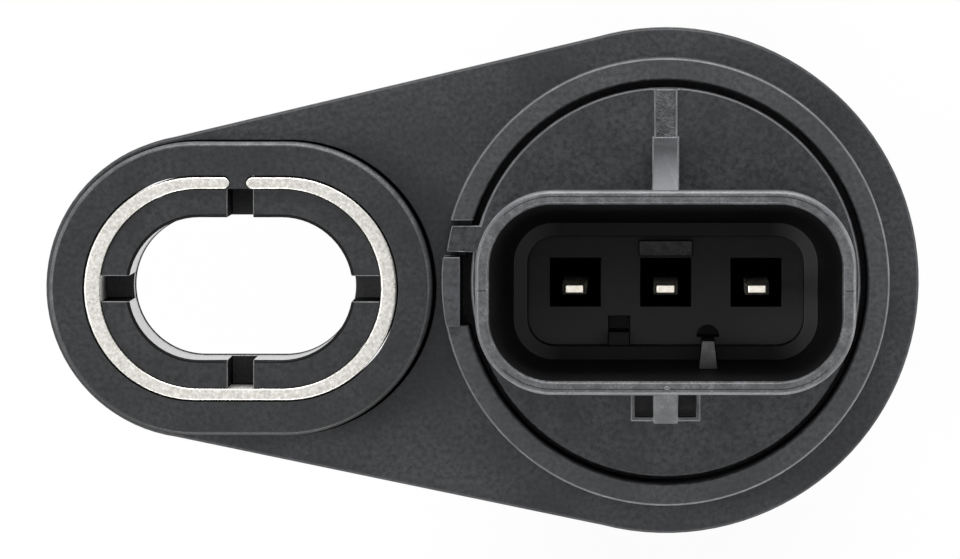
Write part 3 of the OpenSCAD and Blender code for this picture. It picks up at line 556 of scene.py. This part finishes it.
def bodyZones(piece, look):  # which faces of the body have which finish
    centres, normals = faceTable(piece)
    points = pointTable(piece)
    reach = faceReach(piece, away(points[:, 0], points[:, 1] - look["midY"], look["halfX"], look["halfY"]))
    narrow = faceReach(piece, abs(points[:, 0]))
    x, y, height = centres.T
    upward = normals[:, 2]
    rim = height > look["rimLow"]
    raised = (height > look["headTop"]) & (height < look["rimLow"])
    along = raised & (abs(normals[:, 0]) < edgeRule["wall"])  # raised faces that don't look sideways
    gusset = along & (narrow < look["gussetHalf"]) & (y > look["gussetFrom"])
    nose = raised & (y < look["noseFrom"])
    noseRib = along & nose & (narrow < look["noseRibHalf"])
    noseFrame = nose & (narrow < look["noseHalf"]) & (upward > edgeRule["wall"]) & (height > look["noseLow"])
    headEdge = (y > look["edgeFrom"]) & (height < look["headTop"]) & (np.hypot(x, y) > look["headR"])
    inside = (reach < look["socketR"]) & within(height, look["socketSpan"])
    ribFace = (height > look["ribLow"]) & (upward > look["wallTilt"]) & within(x, look["ribX"])
    # the terminal wells are painted black: painted shade
    return {"wellNylon": inside & (height < look["wellHigh"]) & (y > look["wellFrom"]),
            # the coding rib and the tab are painted grey: painted light, with painted shade at the rib's
            # foot
            "scuffedNylon": inside & (within(upward, look["tabTilt"]) | ribFace),
            # the socket's walls are painted nearly black: painted shade
            "socketWallNylon": inside & (upward < look["wallTilt"]),
            "ledgeNylon": inside & (height > look["ledgeLow"]),
            "socketNylon": inside,
            "padNylon": gusset & (y > look["gussetTo"]),
            "gussetNylon": gusset,
            # the rim's outer slopes and the head's edge, except towards -Y, are painted pale: painted
            # highlight
            "edgeNylon": within(upward, look["edgeTilt"]) & ((rim & (reach > rimLook["lineR"])) | headEdge),
            # the rim and the nose's rib and frame are painted pale grey: painted light
            "rubbedNylon": rim | noseRib | noseFrame,
            "barrelNylon": height < look["barrelTop"]}


def bodyHighlitEdges(x, y, z):  # edges above the head painted paler as painted highlight, without those in the socket
    look = bodyLook
    r = away(x, y - look["midY"], look["halfX"], look["halfY"])
    beside, over = look["rubbedSpare"]
    return z > look["rubbedLow"] and (r > look["socketR"] + beside or z > look["rimTop"] + over)


body = mouldedCopy("sensor_body", bodyLook, mendHood)
paint(body, bodyLook, bodyZones(body, bodyLook))
softenEdges(body, bodyLook, bodyHighlitEdges, rimCuts(bodyLook, rimLook))

gateLook = {"at": (0.07, -4.73, 18.4), "half": (0.15, 0.1, 0.05), "round": 24, "rise": 13}


# gate mark: a low ellipsoid left on the rim where the mould was filled
def gateMark(look):
    a, b = np.meshgrid(np.linspace(0, 2 * np.pi, look["round"], endpoint=False),
                       np.linspace(-np.pi / 2, np.pi / 2, look["rise"]), indexing="ij")
    unit = np.stack([np.cos(a) * np.cos(b), np.sin(a) * np.cos(b), np.sin(b)], -1)
    points = np.array(look["at"]) + unit * look["half"]
    return points.reshape(-1, 3) * mm, grid(look["round"], look["rise"], True, False)


# the gate mark is painted in the same pale nylon as the painted highlight on the edges
gate = addPiece("gateMark", *gateMark(gateLook), ["edgeNylon"])
tidyNormals(gate)
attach(gate, "root")
seat(body, "body_nylon", "sensor_body")
print("body moulding:", len(body.data.polygons), "faces")

bladeLook = {"finishes": ["tinnedBrass"], "edge": 0.07, "steps": 3, "limit": 30}
for way in ("supply", "ground", "signal"):
    blade = mouldedCopy("terminal_" + way, {**bladeLook, "name": way + "Blade"})
    softenEdges(blade, bladeLook)
    seat(blade, "terminal_metal", "terminal_" + way)
print("three blades")

sleeveLook = {"centre": (-21.28, -0.35), "inHalf": 2.05, "inR": 5.0, "outHalf": 2.25, "outR": 5.58,
              "top": 6.56, "split": 0.86, "shift": -0.12, "round": 0.09, "bendSteps": 6, "endSteps": 10,
              "arcSteps": 64, "runSteps": 14}


# rolled strip: a rounded upright section carried round an oval, drawn in to a half round at both ends
def rolledSleeve(look):
    thick = look["outR"] - look["inR"]
    half = thick / 2
    turn = np.linspace(0, np.pi / 2, look["endSteps"])
    endX, endWidth = (1 - np.cos(turn)) * half, np.sin(turn)
    start = look["shift"] + look["split"] / 2
    stop = look["shift"] - look["split"] / 2
    arc = np.linspace(np.pi / 2, -np.pi / 2, look["arcSteps"])[1:]

    def oval(reach, r):  # points from the split's right end round to its left end
        run = np.linspace(start + half, reach, look["runSteps"])[1:]
        base = np.linspace(reach, -reach, 2 * look["runSteps"])[1:]
        back = np.linspace(-reach, stop - half, look["runSteps"])[1:]
        x = np.concatenate([start + endX, run, reach + r * np.cos(arc), base, -reach - r * np.cos(arc), back,
                            (stop - endX)[::-1][1:]])
        y = np.concatenate([np.full(len(endX) + len(run), r), r * np.sin(arc), np.full(len(base), -r),
                            -r * np.sin(arc), np.full(len(back) + len(endX) - 1, r)])
        return np.stack([x, y], -1)

    inner, outer = oval(look["inHalf"], look["inR"]), oval(look["outHalf"], look["outR"])
    width = np.ones(len(inner))
    width[:len(endWidth)] = endWidth
    width[-len(endWidth):] = endWidth[::-1]
    bend = np.linspace(0, np.pi / 2, look["bendSteps"])
    r = look["round"]
    across = np.concatenate([half - r + r * np.cos(bend), -(half - r) - r * np.sin(bend),
                             -(half - r) - r * np.cos(bend), half - r + r * np.sin(bend)]) / half
    high = look["top"] - r + r * np.sin(bend)
    height = np.concatenate([high, high[::-1], r - r * np.sin(bend), r - r * np.cos(bend)])
    middle, reach = (inner + outer) / 2, (outer - inner) / 2 * width[:, None]
    flat = middle[:, None, :] + reach[:, None, :] * across[None, :, None] + np.array(look["centre"])
    points = np.concatenate([flat, np.broadcast_to(height[None, :, None], flat.shape[:2] + (1,))], -1)
    return points.reshape(-1, 3) * mm, grid(len(inner), len(across), False, True)


sleeve = addPiece("rolledSleeve", *rolledSleeve(sleeveLook), ["zincPlatedSteel"])
tidyNormals(sleeve)
seat(sleeve, "sleeve_steel", "bolt_sleeve")
print("rolled sleeve:", len(sleeve.data.polygons), "faces")

ringLook = {"middleR": 8.27, "cordR": 1.2, "z": -4.55, "flash": 0.02, "flashSpan": 0.06, "round": 160,
            "section": 40}


# sealing ring: a circle carried round the barrel, with a faint bulge of moulding flash round its outer waist
def sealingRing(look):
    a, b = np.meshgrid(np.linspace(0, 2 * np.pi, look["round"], endpoint=False),
                       np.linspace(0, 2 * np.pi, look["section"], endpoint=False), indexing="ij")
    r = look["cordR"] + look["flash"] * np.exp(-(np.sin(b) / look["flashSpan"]) ** 2) * (np.cos(b) > 0)
    far = look["middleR"] + r * np.cos(b)
    points = np.stack([far * np.cos(a), far * np.sin(a), look["z"] + r * np.sin(b)], -1)
    return points.reshape(-1, 3) * mm, grid(look["round"], look["section"], True, True)


ring = addPiece("sealingRing", *sealingRing(ringLook), ["ringRubber"])
tidyNormals(ring)
seat(ring, "ring_rubber", "sealing_ring")

capLook = {"name": "tipCap", "finishes": ["capNylon"], "edge": 0.08, "steps": 3, "limit": 30}
cap = mouldedCopy("tip_cap", capLook)
softenEdges(cap, capLook)
seat(cap, "cap_nylon", "tip_cap")
print("ring and tip cap")

innerFinish = {"chip_carrier": "carrierPolyester", "hall_chip": "chipEpoxy", "bias_magnet": "sinteredMagnet",
               "flux_plate": "stampedSteel", "supply_capacitor": "firedCeramic",
               "signal_capacitor": "firedCeramic", "chip_lead_supply": "tinnedCopper",
               "chip_lead_ground": "tinnedCopper", "chip_lead_signal": "tinnedCopper"}
for node, name in innerFinish.items():
    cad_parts[node].data.materials.clear()
    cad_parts[node].data.materials.append(finish[name])
print("inner pieces finished:", len(innerFinish))

stageLook = {"half": 1800, "gap": 0.02, "white": "#f7f7f6", "whiter": "#fbfbfa", "cloud": 60, "glow": 0.9,
             "sky": 0.3}


def backLight(tree):  # 1 for rays that see the background: camera, glossy and transmission rays
    path = addNode(tree, "LightPath")
    first = addNode(tree, "Math", None, {0: path.outputs["Is Camera Ray"], 1: path.outputs["Is Glossy Ray"]},
                    operation="MAXIMUM").outputs[0]
    return addNode(tree, "Math", None, {0: first, 1: path.outputs["Is Transmission Ray"]},
                   operation="MAXIMUM").outputs[0]


# table of white laminate under the barrel's tip: matt white with a slow drift, and white to the camera
def makeFloor(look):
    z = cadBox[0][2] - look["gap"] * mm
    h = look["half"] * mm
    mesh = bpy.data.meshes.new("paleTable")
    mesh.from_pydata([(-h, -h, z), (h, -h, z), (h, h, z), (-h, h, z)], [], [(0, 1, 2, 3)])
    material, tree, output, place = startMaterial("paleTableTop")
    cloud = addNode(tree, "TexNoise", {"Scale": 1 / (look["cloud"] * mm), "Detail": 2.0},
                    {"Vector": place}).outputs["Fac"]
    tone = addNode(tree, "Mix", {6: linear(look["white"]), 7: linear(look["whiter"])}, {"Factor": cloud},
                   data_type="RGBA").outputs[2]
    matt = addNode(tree, "BsdfDiffuse", None, {"Color": tone})
    glow = addNode(tree, "Emission", {"Color": (1, 1, 1, 1), "Strength": 1.0})
    share = addNode(tree, "Math", {1: look["glow"]}, {0: backLight(tree)}, operation="MULTIPLY").outputs[0]
    mix = addNode(tree, "MixShader", None, {0: share, 1: matt.outputs[0], 2: glow.outputs[0]})
    tree.links.new(mix.outputs[0], output.inputs["Surface"])
    mesh.materials.append(material)
    table = bpy.data.objects.new("paleTable", mesh)
    scene.collection.objects.link(table)


def makeSky(look):  # even soft light, white where the camera or a gloss sees it
    world = bpy.data.worlds.new("studio")
    world.use_nodes = True
    tree = world.node_tree
    tree.nodes.clear()
    strength = addNode(tree, "MapRange", {"To Min": look["sky"], "To Max": 1.0},
                       {"Value": backLight(tree)}).outputs["Result"]
    background = addNode(tree, "Background", {"Color": (1, 1, 1, 1)}, {"Strength": strength})
    output = addNode(tree, "OutputWorld")
    tree.links.new(background.outputs[0], output.inputs["Surface"])
    scene.world = world


lamps = {"northPanel": {"at": (0, 470, 160), "size": (420, 160), "watts": 2.8},
         "southPanel": {"at": (0, -470, 160), "size": (420, 160), "watts": 1.5},
         "westPanel": {"at": (-410, 0, 280), "size": (200, 160), "watts": 0.8},
         "eastPanel": {"at": (465, 0, 120), "size": (300, 140), "watts": 1.1}}


def addLamp(name, look):  # soft panel aimed at the part
    light = bpy.data.lights.new(name, "AREA")
    light.shape = "RECTANGLE"
    light.size, light.size_y = look["size"][0] * mm, look["size"][1] * mm
    light.energy = look["watts"]
    lamp = bpy.data.objects.new(name, light)
    lamp.location = Vector(look["at"]) * mm
    lamp.rotation_euler = (-lamp.location).to_track_quat("-Z", "Y").to_euler()
    lamp.visible_camera = False
    scene.collection.objects.link(lamp)


makeFloor(stageLook)
makeSky(stageLook)
for name, look in lamps.items():
    addLamp(name, look)
print("stage and light")

# width: what the picture shows from side to side at the target; sensor in mm, near and far in metres
cameraLook = {"at": (0.02, 16.1, 450), "target": (-9.28, 0.125, 6.5), "width": 48.0, "sensor": 36,
              "near": 0.01, "far": 10}


def addCamera(look):
    camera = bpy.data.objects.new("photoCamera", bpy.data.cameras.new("photoCamera"))
    camera.location = Vector(look["at"]) * mm
    sight = (Vector(look["target"]) - Vector(look["at"])) * mm
    back = -sight.normalized()
    up = (Vector((0, 1, 0)) - back * back.y).normalized()  # +Y stays upright in the picture
    camera.rotation_euler = Matrix((up.cross(back), up, back)).transposed().to_euler()
    camera.data.sensor_width = look["sensor"]
    camera.data.lens = look["sensor"] * sight.length / (look["width"] * mm)
    camera.data.clip_start, camera.data.clip_end = look["near"], look["far"]
    scene.collection.objects.link(camera)
    return camera


scene.camera = addCamera(cameraLook)
print("camera lens", round(scene.camera.data.lens, 1), "mm")

bpy.context.view_layer.update()
